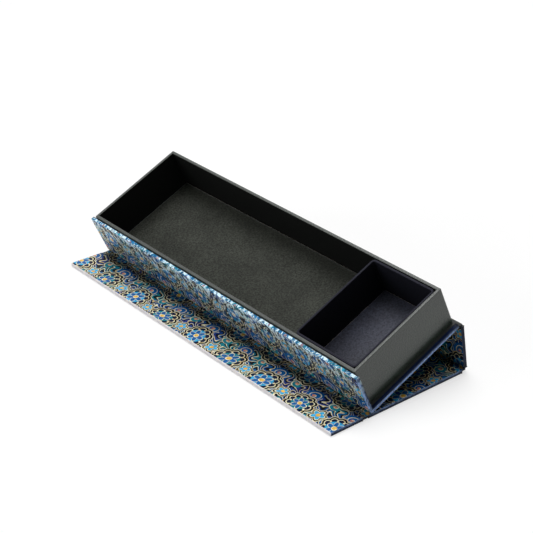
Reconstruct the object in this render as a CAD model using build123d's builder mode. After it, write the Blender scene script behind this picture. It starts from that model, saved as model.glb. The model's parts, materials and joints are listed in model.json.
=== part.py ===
from build123d import *
import math
import os

# A hard pencil case: a shallow tray glued to a wrap-round cover of five boards.
# Here the cover is folded back under the tray as a stand, so the open tray leans forward.
# X runs along the case, Y from the closing flap to the spine, Z up from the table.

# Tray, in millimetres
tray_length = 228.0  # outside, so that a new pencil fits beside the small insert
tray_width = 64.5  # outside, front to back
tray_height = 25.8  # from the cover's lining to the rim
wall_board = 1.4  # grey board of the walls
floor_board = 1.0  # grey board of the floor
wrap_paper = 0.2  # textured paper on each side of the walls
floor_pad = 0.6  # covered card laid on the floor
pad_gap = 0.5  # between the card and the walls
tray_corner = 0.6  # rounding of the upright corners
rim_round = 0.4  # rounding of the rim's outer edge
seat_shift = 1.0  # the tray is glued this far left of the cover's middle

# Cover boards
cover_overhang = 2.5  # cover past each end of the tray
cover_board = 1.8  # grey board
cover_paper = 0.25  # decorated paper, outside
cover_lining = 0.25  # black paper, inside
turn_in = 12.0  # decorated paper folded over a free edge
lining_margin = 1.8  # decorated edge left showing round the lining
front_drop = 0.5  # front board's top edge below the rim
corner_round = 2.2  # fold between the base and the front board
flap_reach = 23.8  # flap, from its crease to its free edge

# Creases
crease_depth = 0.6  # crease line below the decorated face
crease_margin = 2.1  # board edge to crease line
heel_margin = 0.8  # the same at the spine board's lower edge, which the tray's weight stands on
crease_web = 0.5  # the two papers together, where they cross a crease
crease_bead = 0.4  # radius of the ridge that the papers form on the crease
closing_gap = 0.4  # play between the closed cover and the tray

# Stand
foot_set = 4.5  # tray's foot behind the flap's crease
foot_gap = 0.1  # clearance between the foot and the lid under it

# Insert, a small loose tray at the right-hand end
insert_length = 45.4
insert_gap = 0.4  # clearance to the tray's walls
insert_drop = 0.3  # its rim below the tray's rim
insert_card = 0.9  # wall card
insert_base = 1.0  # floor card
insert_paper = 0.2  # paper on each side of the walls
insert_floor_paper = 0.3  # lining on its floor
insert_corner = 2.5  # outer rounding of its upright corners

# Magnets
magnet_radius = 5.0
magnet_thickness = 1.0
pocket_clearance = 0.1
magnet_end = 36.5  # from each end of the cover to the magnets
magnet_reach = 13.0  # from the flap's crease to the magnets

# Sizes that follow
paper_inside = cover_paper + cover_board
turned_thickness = paper_inside + cover_paper
panel_thickness = turned_thickness + cover_lining
crease_inside = panel_thickness - crease_depth
cover_length = tray_length + 2 * cover_overhang
wall_thickness = wall_board + 2 * wrap_paper
rim_height = panel_thickness + tray_height
front_height = rim_height - front_drop
floor_top = panel_thickness + floor_board
pad_top = floor_top + floor_pad
spine_crease_reach = panel_thickness + tray_width + closing_gap + crease_inside
spine_span = rim_height + closing_gap + crease_inside - crease_depth
lid_span = spine_crease_reach + closing_gap + crease_inside

# The folded-back stand is a triangle between the tray's foot and the two long creases.
foot_rise = panel_thickness + foot_gap + corner_round - crease_inside
foot_run = lid_span - foot_set
foot_line = math.hypot(foot_run, foot_rise)
lever = math.hypot(spine_crease_reach - corner_round, crease_depth - corner_round)
foot_cosine = (foot_line**2 + lever**2 - spine_span**2) / (2 * foot_line * lever)
lever_angle = math.acos(foot_cosine) - math.atan2(foot_rise, foot_run)
tilt = lever_angle - math.atan2(crease_depth - corner_round, spine_crease_reach - corner_round)
tilt_sine = math.sin(tilt)
tilt_cosine = math.cos(tilt)

# Places measured back from the flap's crease
foot_height = panel_thickness + foot_gap + corner_round
tray_corner_y = foot_set - corner_round * (tilt_cosine - tilt_sine)
tray_corner_z = foot_height - corner_round * (tilt_cosine + tilt_sine)
spine_crease_y = foot_set + lever * math.cos(lever_angle)
spine_crease_z = foot_height + lever * math.sin(lever_angle)
lean = math.asin((spine_crease_z - crease_inside) / spine_span)
spine_foot = (spine_span - heel_margin) * math.cos(lean)
spine_back_y = spine_crease_y + spine_foot + crease_inside * math.sin(lean)

# The origin is on the table, under the middle of the whole object.
shift_y = (flap_reach - spine_back_y) / 2


def section(y, z, angle):
    """A cross-section plane: its X runs along a board at this angle, its Y towards the inside."""
    run = (0, math.cos(angle), math.sin(angle))
    return Plane(origin=(0, y + shift_y, z), x_dir=run, z_dir=(1, 0, 0))


tray_section = section(tray_corner_y, tray_corner_z, tilt)
spine_section = section(spine_crease_y, spine_crease_z, -lean)
lid_section = section(lid_span, crease_inside, math.pi)
flap_section = section(0, crease_inside, math.pi)


def layer(plane, height, across=0.0):
    """A plane that lies along a board, at a height in its section: its X is the case's X."""
    origin = plane.origin + plane.y_dir * height + plane.z_dir * across
    return Plane(origin=origin, x_dir=plane.z_dir, z_dir=plane.y_dir)


def slab(start, end, bottom, top):
    """Draw a rectangle in a section, between two distances and two heights."""
    with Locations((start, bottom)):
        Rectangle(end - start, top - bottom, align=Align.MIN)


def rounded(length, width, corner, mode=Mode.ADD):
    """Draw a rectangle, with rounded corners where the rounding is more than nothing."""
    if corner > 0:
        RectangleRounded(length, width, corner, mode=mode)
    else:
        Rectangle(length, width, mode=mode)


def ring(length, width, wall, corner=0.0):
    """Draw a rectangular ring of this wall inside these outer sizes."""
    rounded(length, width, corner)
    rounded(length - 2 * wall, width - 2 * wall, corner - wall, mode=Mode.SUBTRACT)


def keep(piece, label):
    """Name a finished piece and write it out."""
    piece.part.label = label
    export_step(piece.part, f"parts/{label}.step")


os.makedirs("parts", exist_ok=True)

half_cover = cover_length / 2
half_board = half_cover - cover_paper
half_window = half_cover - turn_in
half_lining = half_cover - lining_margin

# Tray boards
tray_middle = panel_thickness + tray_width / 2
board_length = tray_length - 2 * wrap_paper
board_width = tray_width - 2 * wrap_paper
bay_length = board_length - 2 * wall_board
bay_width = board_width - 2 * wall_board
wall_height = tray_height - wrap_paper


def tray_piece(label, centre_x, centre_y, length, width, height):
    """A board of the tray, standing or lying on the cover's lining."""
    with BuildPart() as piece:
        with BuildSketch(layer(tray_section, panel_thickness, -seat_shift)):
            with Locations((centre_x, tray_middle + centre_y)):
                Rectangle(length, width)
        extrude(amount=height)
    keep(piece, label)


side_offset = (board_width - wall_board) / 2
end_offset = (board_length - wall_board) / 2
tray_piece("tray_floor_board", 0, 0, bay_length, bay_width, floor_board)
tray_piece("tray_front_wall_board", 0, -side_offset, board_length, wall_board, wall_height)
tray_piece("tray_back_wall_board", 0, side_offset, board_length, wall_board, wall_height)
tray_piece("tray_left_end_board", -end_offset, 0, wall_board, bay_width, wall_height)
tray_piece("tray_right_end_board", end_offset, 0, wall_board, bay_width, wall_height)

# Textured paper round the outside of the walls and over the rim
with BuildPart() as tray_wrap:
    with BuildSketch(layer(tray_section, panel_thickness, -seat_shift)):
        with Locations((0, tray_middle)):
            RectangleRounded(tray_length, tray_width, tray_corner)
    extrude(amount=tray_height)
    rim = tray_wrap.faces().sort_by(Axis((0, 0, 0), tray_section.y_dir))[-1]
    fillet(rim.edges(), radius=rim_round)
    with BuildSketch(layer(tray_section, panel_thickness, -seat_shift)):
        with Locations((0, tray_middle)):
            Rectangle(board_length, board_width)
    extrude(amount=wall_height, mode=Mode.SUBTRACT)
    with BuildSketch(layer(tray_section, panel_thickness, -seat_shift)):
        with Locations((0, tray_middle)):
            Rectangle(tray_length - 2 * wall_thickness, tray_width - 2 * wall_thickness)
    extrude(amount=tray_height, mode=Mode.SUBTRACT)
keep(tray_wrap, "tray_wrap_paper")

with BuildPart() as tray_lining:
    with BuildSketch(layer(tray_section, floor_top, -seat_shift)):
        with Locations((0, tray_middle)):
            ring(bay_length, bay_width, wrap_paper)
    extrude(amount=wall_height - floor_board)
keep(tray_lining, "tray_wall_lining")

pad_inset = 2 * (wrap_paper + pad_gap)
with BuildPart() as pad:
    with BuildSketch(layer(tray_section, floor_top, -seat_shift)):
        with Locations((0, tray_middle)):
            Rectangle(bay_length - pad_inset, bay_width - pad_inset)
    extrude(amount=floor_pad)
keep(pad, "tray_floor_pad")

# Base and front board of the cover, with the papers that join them round the corner
magnet_spread = half_cover - magnet_end
base_end = spine_crease_reach - crease_margin
front_end = front_height - cover_paper
magnet_height = spine_span + crease_depth - magnet_reach
front_face = Plane(
    origin=tray_section.origin + tray_section.x_dir * cover_paper,
    x_dir=tray_section.z_dir,
    z_dir=-tray_section.x_dir,
)

with BuildPart() as base:
    with BuildSketch(tray_section):
        slab(panel_thickness, base_end, cover_paper, paper_inside)
    extrude(amount=half_board, both=True)
keep(base, "base_board")

with BuildPart() as front:
    with BuildSketch(tray_section):
        slab(cover_paper, paper_inside, panel_thickness, front_end)
    extrude(amount=half_board, both=True)
    with BuildSketch(front_face):
        with Locations((-magnet_spread, magnet_height), (magnet_spread, magnet_height)):
            Circle(magnet_radius + pocket_clearance)
    extrude(amount=-magnet_thickness - pocket_clearance, mode=Mode.SUBTRACT)
keep(front, "front_board")

with BuildPart() as base_paper:
    with BuildSketch(tray_section) as outside:
        slab(0, base_end, 0, turned_thickness)
        slab(0, turned_thickness, 0, front_height)
        outer_corner = outside.vertices().group_by(Axis.X)[0].sort_by(Axis.Y)[0]
        fillet(outer_corner, radius=corner_round)
    extrude(amount=half_cover, both=True)
    with BuildSketch(tray_section) as inside:
        slab(cover_paper, base_end, cover_paper, paper_inside)
        slab(cover_paper, paper_inside, cover_paper, front_end)
        inner_corner = inside.vertices().group_by(Axis.X)[0].sort_by(Axis.Y)[0]
        fillet(inner_corner, radius=corner_round - cover_paper)
    extrude(amount=half_board, both=True, mode=Mode.SUBTRACT)
    with BuildSketch(tray_section):
        slab(paper_inside, base_end, paper_inside, turned_thickness)
        slab(paper_inside, turned_thickness, paper_inside, front_height - turn_in)
    extrude(amount=half_window, both=True, mode=Mode.SUBTRACT)
keep(base_paper, "base_cover_paper")

with BuildPart() as base_inside:
    with BuildSketch(tray_section):
        slab(turned_thickness, base_end, turned_thickness, panel_thickness)
        slab(turned_thickness, panel_thickness, turned_thickness, front_height - lining_margin)
    extrude(amount=half_lining, both=True)
    with BuildSketch(tray_section):
        slab(paper_inside, base_end, paper_inside, turned_thickness)
        slab(paper_inside, turned_thickness, paper_inside, front_height - turn_in)
    extrude(amount=half_window, both=True)
keep(base_inside, "base_lining")


def magnet(label, plane, x, y):
    """A disc magnet, sunk into a board's face from this plane."""
    with BuildPart() as disc:
        with BuildSketch(plane):
            with Locations((x, y)):
                Circle(magnet_radius)
        extrude(amount=-magnet_thickness)
    keep(disc, label)


magnet("front_magnet_left", front_face, -magnet_spread, magnet_height)
magnet("front_magnet_right", front_face, magnet_spread, magnet_height)


def panel(name, plane, span, margin=crease_margin, free_edge=False):
    """A hinged board with its decorated paper and its lining, from one crease to the next.

    The margin is at the far crease. A free far edge has the decorated paper folded over it instead.
    """
    end = span if free_edge else span - margin
    board_end = end - cover_paper if free_edge else end
    window_end = end - turn_in if free_edge else end
    lining_end = end - lining_margin if free_edge else end
    board_bottom = cover_paper - crease_depth
    board_top = paper_inside - crease_depth
    paper_top = turned_thickness - crease_depth

    with BuildPart() as board:
        with BuildSketch(plane):
            slab(crease_margin, board_end, board_bottom, board_top)
        extrude(amount=half_board, both=True)
        if free_edge:
            with BuildSketch(layer(plane, board_top)):
                with Locations((-magnet_spread, magnet_reach), (magnet_spread, magnet_reach)):
                    Circle(magnet_radius + pocket_clearance)
            extrude(amount=-magnet_thickness - pocket_clearance, mode=Mode.SUBTRACT)
    keep(board, f"{name}_board")

    with BuildPart() as paper:
        with BuildSketch(plane):
            slab(crease_margin, end, -crease_depth, paper_top)
        extrude(amount=half_cover, both=True)
        with BuildSketch(plane):
            slab(crease_margin, board_end, board_bottom, board_top)
        extrude(amount=half_board, both=True, mode=Mode.SUBTRACT)
        with BuildSketch(plane):
            slab(crease_margin, window_end, board_top, paper_top)
        extrude(amount=half_window, both=True, mode=Mode.SUBTRACT)
    keep(paper, f"{name}_cover_paper")

    with BuildPart() as lining:
        with BuildSketch(plane):
            slab(crease_margin, lining_end, paper_top, crease_inside)
        extrude(amount=half_lining, both=True)
        with BuildSketch(plane):
            slab(crease_margin, window_end, board_top, paper_top)
        extrude(amount=half_window, both=True)
    keep(lining, f"{name}_lining")


panel("spine", spine_section, spine_span, margin=heel_margin)
panel("lid", lid_section, lid_span)
panel("flap", flap_section, flap_reach, free_edge=True)

flap_face = layer(flap_section, paper_inside - crease_depth)
magnet("flap_magnet_left", flap_face, -magnet_spread, magnet_reach)
magnet("flap_magnet_right", flap_face, magnet_spread, magnet_reach)


def crease(label, plane, angle_back, margin_back=crease_margin):
    """The papers across a crease: a web out to each board and a ridge on the crease line.

    One web follows the plane, and the other goes back to the board before, at this angle.
    """
    with BuildPart() as strip:
        with BuildSketch(plane):
            Circle(crease_bead)
            for angle, margin in ((0, crease_margin), (angle_back, margin_back)):
                with Locations(Location((0, 0, 0), (0, 0, angle))):
                    Rectangle(margin, crease_web, align=(Align.MIN, Align.CENTER))
        extrude(amount=half_board, both=True)
    keep(strip, label)


crease("spine_crease_strip", spine_section, 180 + math.degrees(tilt + lean))
crease("lid_crease_strip", lid_section, -math.degrees(lean), heel_margin)
crease("flap_crease_strip", flap_section, 180)

# Insert: card walls and floor, wrapped in paper and lined
insert_width = tray_width - 2 * wall_thickness - 2 * insert_gap
insert_height = rim_height - insert_drop - pad_top
insert_end = tray_length / 2 - wall_thickness - insert_gap - seat_shift
card_length = insert_length - 2 * insert_paper
card_width = insert_width - 2 * insert_paper
card_corner = insert_corner - insert_paper
card_height = insert_height - insert_paper
inner_length = card_length - 2 * insert_card
inner_width = card_width - 2 * insert_card
inner_corner = card_corner - insert_card
insert_wall = insert_card + 2 * insert_paper


def insert_layer(height):
    """A plane at this height above the underside of the insert, under its middle."""
    return layer(tray_section, pad_top + height, insert_end - insert_length / 2)


with BuildPart() as insert_walls:
    with BuildSketch(insert_layer(0)):
        with Locations((0, tray_middle)):
            ring(card_length, card_width, insert_card, card_corner)
    extrude(amount=card_height)
keep(insert_walls, "insert_walls")

with BuildPart() as insert_floor:
    with BuildSketch(insert_layer(0)):
        with Locations((0, tray_middle)):
            rounded(inner_length, inner_width, inner_corner)
    extrude(amount=insert_base)
keep(insert_floor, "insert_floor_board")

with BuildPart() as insert_wrap:
    with BuildSketch(insert_layer(0)):
        with Locations((0, tray_middle)):
            ring(insert_length, insert_width, insert_paper, insert_corner)
    extrude(amount=card_height)
    with BuildSketch(insert_layer(card_height)):
        with Locations((0, tray_middle)):
            ring(insert_length, insert_width, insert_wall, insert_corner)
    extrude(amount=insert_paper)
    with BuildSketch(insert_layer(insert_base)):
        with Locations((0, tray_middle)):
            ring(inner_length, inner_width, insert_paper, inner_corner)
    extrude(amount=card_height - insert_base)
keep(insert_wrap, "insert_wrap_paper")

lining_length = insert_length - 2 * insert_wall
lining_width = insert_width - 2 * insert_wall
with BuildPart() as insert_lining:
    with BuildSketch(insert_layer(insert_base)):
        with Locations((0, tray_middle)):
            rounded(lining_length, lining_width, insert_corner - insert_wall)
    extrude(amount=insert_floor_paper)
keep(insert_lining, "insert_floor_lining")

print("tray tilt", round(math.degrees(tilt), 2), "spine lean", round(math.degrees(lean), 2))
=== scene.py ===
"""Looks for a hard pencil case.

A black tray with a loose insert stands in a cover of decorated paper, which is folded back as a stand.
"""

import json
import math

import bpy
import numpy as np
from bpy.props import FloatProperty, FloatVectorProperty, IntProperty, PointerProperty
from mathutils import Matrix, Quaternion, Vector
from mathutils.geometry import tessellate_polygon


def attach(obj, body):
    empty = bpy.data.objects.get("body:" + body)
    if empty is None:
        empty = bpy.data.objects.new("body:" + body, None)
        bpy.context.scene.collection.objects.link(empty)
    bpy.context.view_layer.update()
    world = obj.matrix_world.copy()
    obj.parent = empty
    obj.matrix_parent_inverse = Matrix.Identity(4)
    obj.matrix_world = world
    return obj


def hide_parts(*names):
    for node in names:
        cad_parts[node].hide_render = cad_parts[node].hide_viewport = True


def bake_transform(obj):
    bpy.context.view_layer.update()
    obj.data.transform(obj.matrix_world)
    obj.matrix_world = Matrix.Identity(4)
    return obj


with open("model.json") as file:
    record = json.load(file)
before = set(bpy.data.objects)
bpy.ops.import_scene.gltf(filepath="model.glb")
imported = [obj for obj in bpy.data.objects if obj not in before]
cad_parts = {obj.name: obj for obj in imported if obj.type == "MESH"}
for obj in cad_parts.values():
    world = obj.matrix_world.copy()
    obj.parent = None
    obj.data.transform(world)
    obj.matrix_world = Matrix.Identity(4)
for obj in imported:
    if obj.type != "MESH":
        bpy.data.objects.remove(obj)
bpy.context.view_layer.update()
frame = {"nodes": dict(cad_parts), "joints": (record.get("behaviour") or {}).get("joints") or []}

bl_info = {
    "name": "Hard pencil case",
    "version": (1, 0, 0),
    "blender": (4, 5, 0),
    "location": "View3D > Sidebar > Pencil case",
    "description": "Papers, insert and stage for a hard pencil case, built round its packed parts",
    "category": "Object",
}

MM = 0.001
SHEET = "sheet"  # UV map: the cover's decorated paper laid flat, in metres
WORN_AND_LIT = "worn_and_lit"  # attribute: 1 on folded rims, where the paper is stretched and rubbed, and a painted highlight is laid


def linear(code):
    """An sRGB hex colour as linear red, green and blue."""
    parts = [int(code[i : i + 2], 16) / 255 for i in (1, 3, 5)]
    return tuple(c / 12.92 if c <= 0.04045 else ((c + 0.055) / 1.055) ** 2.4 for c in parts)


# Sections: X runs along the case, u along a board from its crease, v towards its lined side.


class Section:
    """A cross-section of the case, in which one board lies level."""

    def __init__(self, y, z, angle):
        self.origin = Vector((0, y, z))
        self.along = Vector((0, math.cos(angle), math.sin(angle)))
        self.inward = Vector((0, -math.sin(angle), math.cos(angle)))

    def place(self, x, u, v):
        return self.origin + Vector((x, 0, 0)) + self.along * u + self.inward * v

    def local(self, points):
        shifted = np.array(points) - np.array(self.origin)
        return np.stack([shifted[:, 0], shifted @ np.array(self.along), shifted @ np.array(self.inward)], 1)

    def box(self, node):
        """Lowest and highest (x, u, v) of a CAD node in this section."""
        found = self.local([v.co for v in frame["nodes"][node].data.vertices])
        return found.min(0), found.max(0)


joints = {j["name"]: j for j in frame["joints"]}
lift = joints["insert_lift"]["axis"]
tilt = math.atan2(-lift[1], lift[2])
level = Section(0, 0, tilt)
outer = level.box("base_cover_paper")[0]
tray_corner = level.place(0, outer[1], outer[2])
spine_line = joints["spine_crease"]["pos_m"]
lid_line = joints["lid_crease"]["pos_m"]
flap_line = joints["flap_crease"]["pos_m"]
lean = math.atan2(lid_line[2] - spine_line[2], lid_line[1] - spine_line[1])
sections = {
    "tray": Section(tray_corner.y, tray_corner.z, tilt),
    "spine": Section(spine_line[1], spine_line[2], lean),
    "lid": Section(lid_line[1], lid_line[2], math.pi),
    "flap": Section(flap_line[1], flap_line[2], math.pi),
    "room": Section(0, 0, 0),
}


def length_property(name, description, millimetres):
    return FloatProperty(name=name, description=description, default=millimetres * MM, unit="LENGTH")


def colour_property(name, description, code):
    return FloatVectorProperty(name=name, description=description, default=linear(code), subtype="COLOR")


class CaseSizes(bpy.types.PropertyGroup):
    """Sizes of folds and edges that the CAD parts leave plain."""

    paper_fold: length_property("Paper fold", "Rounding of the cover's free edges", 0.35)
    groove_fold: length_property("Groove fold", "Rounding where the paper enters a crease", 0.2)
    corner_fold: length_property("Corner fold", "Rounding between base and front board", 2.2)
    turn_in: length_property("Turn-in", "Decorated paper folded over a free edge", 12)
    rim_fold: length_property("Rim fold", "Rounding of the tray's and the insert's rims", 0.4)
    tray_corner: length_property("Tray corner", "Rounding of the tray's upright corners", 0.6)
    insert_corner: length_property("Insert corner", "Outer rounding of its upright corners", 2.5)
    card_edge: length_property("Card edge", "Rounding of the floor card's edge", 0.25)
    floor_edge: length_property("Insert floor edge", "Rounding of its lining's edge", 0.15)
    fold_steps: IntProperty(
        name="Fold steps",
        description="Flats round a quarter turn of a fold",
        default=6,
        min=2,
        subtype="UNSIGNED",
    )


class CaseColours(bpy.types.PropertyGroup):
    """Colours of the papers, boards and magnets."""

    # night is also painted as shade in the joint between the front board and the tray
    night: colour_property("Night", "Darkest areas behind the lines", "#04060F")
    edge: colour_property("Edge", "Plain folded ends of the boards", "#0D1B38")
    navy: colour_property("Navy", "Rims of the rosettes", "#0A1434")
    blue: colour_property("Blue", "Ground of the print, and petals", "#0B5B9E")
    teal: colour_property("Teal", "Teal areas of the ground", "#0E8092")
    violet: colour_property("Violet", "Violet areas of the ground", "#223884")
    # sky is also the painted glint along the front board's edge
    sky: colour_property("Sky", "Light blue of the small flowers", "#33A4D6")
    amber: colour_property("Amber", "Flower centres", "#E9B64A")
    coral: colour_property("Coral", "Scroll centres", "#D9825F")
    foil: colour_property("Foil", "Pale gold foil lines", "#F4F0CC")
    gold: colour_property("Gold", "Deeper gold foil", "#D4B878")
    # painted glare over the flap's free edge
    flap_glare_white: colour_property("Pearl", "Border over the flap's free edge", "#ECE8EA")
    # painted glint, laid in streaks down the front board
    glint_white: colour_property("Ice", "Brushed flecks on the front board", "#D6EEF8")
    # worn ink on the folded ends, with a painted highlight along the fold
    rubbed_and_lit: colour_property("Rubbed", "Ink worn pale on the folded ends", "#AACAFF")
    black: colour_property("Black paper", "Outside of the tray", "#2C382F")
    lining: colour_property("Lining paper", "Inside of the tray", "#040504")
    cover_lining: colour_property("Cover lining", "Inside of the cover", "#121412")
    charcoal: colour_property("Charcoal paper", "Card on the tray's floor", "#363833")
    ink_blue: colour_property("Ink-blue paper", "Walls of the insert", "#05060A")
    slate: colour_property("Slate paper", "Floor of the insert", "#32343F")
    board: colour_property("Grey board", "Boards under the papers", "#9C968C")
    nickel: colour_property("Nickel", "Plating of the magnets", "#B9B3A8")


# Materials


def add(tree, kind, settings=None, inputs=None):
    """Add a node with its settings, and set or link its inputs."""
    node = tree.nodes.new(kind)
    for key, value in (settings or {}).items():
        setattr(node, key, value)
    for key, value in (inputs or {}).items():
        if isinstance(value, bpy.types.NodeSocket):
            tree.links.new(value, node.inputs[key])
        else:
            node.inputs[key].default_value = value
    return node


def empty_material(name):
    """A material with nothing in its tree yet."""
    material = bpy.data.materials.new(name)
    material.use_nodes = True
    material.node_tree.nodes.clear()
    return material, material.node_tree


def shade(tree, inputs):
    """End a material's tree in its surface."""
    surface = add(tree, "ShaderNodeBsdfPrincipled", inputs=inputs)
    add(tree, "ShaderNodeOutputMaterial", inputs={"Surface": surface.outputs["BSDF"]})


def work(tree, known, steps):
    """Lay out arithmetic: each step names its result, its operation and what it works on.

    RANGE carries a value from the span of its next two numbers to that of its last two, and no further.
    """
    for result, operation, *values in steps:
        sockets = {i: known[v] if isinstance(v, str) else v for i, v in enumerate(values)}
        kind, settings = "ShaderNodeMath", {"operation": operation}
        if operation == "RANGE":
            kind, settings = "ShaderNodeMapRange", None
        known[result] = add(tree, kind, settings, sockets).outputs[0]


def rgba(colour):
    return (*colour, 1.0)


def layered(tree, known, ground, layers):
    """Lay colours over a ground, each by its own share."""
    for share, colour in layers:
        over = colour if isinstance(colour, bpy.types.NodeSocket) else rgba(colour)
        inputs = {"Factor": known[share], 6: ground, 7: over}
        ground = add(tree, "ShaderNodeMix", {"data_type": "RGBA"}, inputs).outputs[2]
    return ground


def object_millimetres(tree):
    """Object coordinates in millimetres."""
    place = add(tree, "ShaderNodeTexCoord").outputs["Object"]
    return add(tree, "ShaderNodeVectorMath", {"operation": "SCALE"}, {0: place, "Scale": 1 / MM}).outputs[0]


# The ornament is a common kind: rosettes in half-drop rows, small flowers between them, scrolls
# between the rows and flowing lines behind. Its measures are in units of 1.2 mm on the flat sheet.

UNIT = 1.2  # millimetres
ROW = 19.0  # from one row of rosettes to the next
REPEAT = 24.0  # from one rosette to the next in a row
DRIFT = 5.0  # how far the drawing wanders across its grid
WANDER = 22.0  # millimetres over which it does so
LINE = 0.5  # foil line; real ones are nearer a third of that, too fine to show in the render
THIN_LINE = 0.85 * LINE  # line round a rosette
THINNER_LINE = 0.8 * LINE  # line round a small flower
SCALLOPS = 10  # round a rosette, with a bead between each two
RIM_LOBES = (5.7, SCALLOPS, 1.1)  # radius where two scallops meet, their number and how far they stand out
PETAL_LOBES = (1.9, 6, 2.5)  # the same for a rosette's petals
BLOOM_LOBES = (1.6, 5, 1.5, 0.6)  # the same for a small flower, and its turn in radians
OUTER_RIM = 1.5  # from the scallops to the line round them
BEAD_RING = 5.2  # radius of the ring of beads
BEAD = 0.5  # radius of a bead
DISC = 4.6  # radius of a rosette's light ground
CORE = 1.15  # radius of its centre
BLOOM_RIM = 1.1  # from a small flower to the line round it
BUD = 1.0  # radius of a small flower's centre
CLEAR = 0.4  # bare ground round rosettes and small flowers
SCROLL = 4.3  # radius of a large scroll
SCROLL_LESS = 1.5  # how much smaller every other one is
COIL = 2.2  # from one turn of a scroll to the next
EYE = 0.85  # radius of a scroll's centre
SWAY = 2.6  # from one flowing line to the next
SWAY_LINE = 0.22  # a flowing line, as a share of that
WAVE = 0.66  # radians to a unit in the long wave of a flowing line
RIPPLE = 1.2  # radians to a unit in its short wave
RIPPLE_HEIGHT = 0.22  # height of the short wave, as a share of SWAY

# Edges, wear and painted light of the sheet, in millimetres on it

INK_STOPS = 0.25  # before the folded ends
GLARE_BAND = 0.2  # band of painted glare beside the flap's free edge, and of painted glint beside the front board's
JOINT = 1.75  # from the front board's edge to the joint with the tray, past which shade is painted
RUB_AND_LIGHT = 1.15  # wear and painted highlight at the fold of an end
RUB_AND_LIGHT_SPINE = -0.75  # less on the spine
RUB_AND_LIGHT_BASE = 1.95  # more on the base and the front board, which stick out furthest and whose folds carry the brightest painted highlight
RUB_AND_LIGHT_FADE = -0.65  # for each millimetre past the fold, and twice as fast on the base
STREAK_SCALE = (0.45, 0.24, 1.0)  # painted reflection streaks, to a millimetre across and along them

# Shares of the sheet's looks

FLAP_GLARE = 0.9  # share of pale painted glare over the flap's free edge
GLINT = 0.4  # share of painted glint along the front board's edge
MIRROR = 0.22  # how much of a mirror foil is under the varnish
FIBRE_RELIEF = 0.25  # height of the paper's fibre against the foil's


def lattice(tag, pitch, shift_u, shift_s):
    """Distance and angle from the nearest centre of a half-drop lattice."""
    return [
        (tag + "_s", "MULTIPLY_ADD", "s", 1 / ROW, shift_s),
        (tag + "_row", "FLOOR", tag + "_s"),
        (tag + "_drop", "FLOORED_MODULO", tag + "_row", 2.0),
        (tag + "_u0", "MULTIPLY_ADD", "u", 1 / pitch, shift_u),
        (tag + "_u", "MULTIPLY_ADD", tag + "_drop", 0.5, tag + "_u0"),
        (tag + "_column", "FLOOR", tag + "_u"),
        (tag + "_fu", "SUBTRACT", tag + "_u", tag + "_column"),
        (tag + "_fs", "SUBTRACT", tag + "_s", tag + "_row"),
        (tag + "_x", "MULTIPLY_ADD", tag + "_fu", pitch, -pitch / 2),
        (tag + "_y", "MULTIPLY_ADD", tag + "_fs", ROW, -ROW / 2),
        (tag + "_xx", "MULTIPLY", tag + "_x", tag + "_x"),
        (tag + "_rr", "MULTIPLY_ADD", tag + "_y", tag + "_y", tag + "_xx"),
        (tag + "_r", "SQRT", tag + "_rr"),
        (tag + "_turn", "ARCTAN2", tag + "_y", tag + "_x"),
    ]


def lobes(tag, centre, radius, count, depth, turn=0.0):
    """How far outside a lobed outline a point lies."""
    return [
        (tag + "_angle", "MULTIPLY_ADD", centre + "_turn", count / 2, turn),
        (tag + "_cosine", "COSINE", tag + "_angle"),
        (tag + "_lobe", "ABSOLUTE", tag + "_cosine"),
        (tag + "_radius", "MULTIPLY_ADD", tag + "_lobe", depth, radius),
        (tag, "SUBTRACT", centre + "_r", tag + "_radius"),
    ]


def apart(tag, one, other):
    """How far two values are from each other."""
    return [(tag + "_off", "SUBTRACT", one, other), (tag, "ABSOLUTE", tag + "_off")]


def stroke(tag, outline, away, width):
    """1 on a line at this distance outside an outline."""
    return [*apart(tag + "_far", outline, away), (tag, "LESS_THAN", tag + "_far", width / 2)]


def greatest(result, first, *others):
    """The greatest of several results."""
    steps = []
    for other in others:
        steps.append((f"{result}_{other}", "MAXIMUM", first, other))
        first = steps[-1][0]
    return [*steps[:-1], (result, *steps[-1][1:])]


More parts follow.
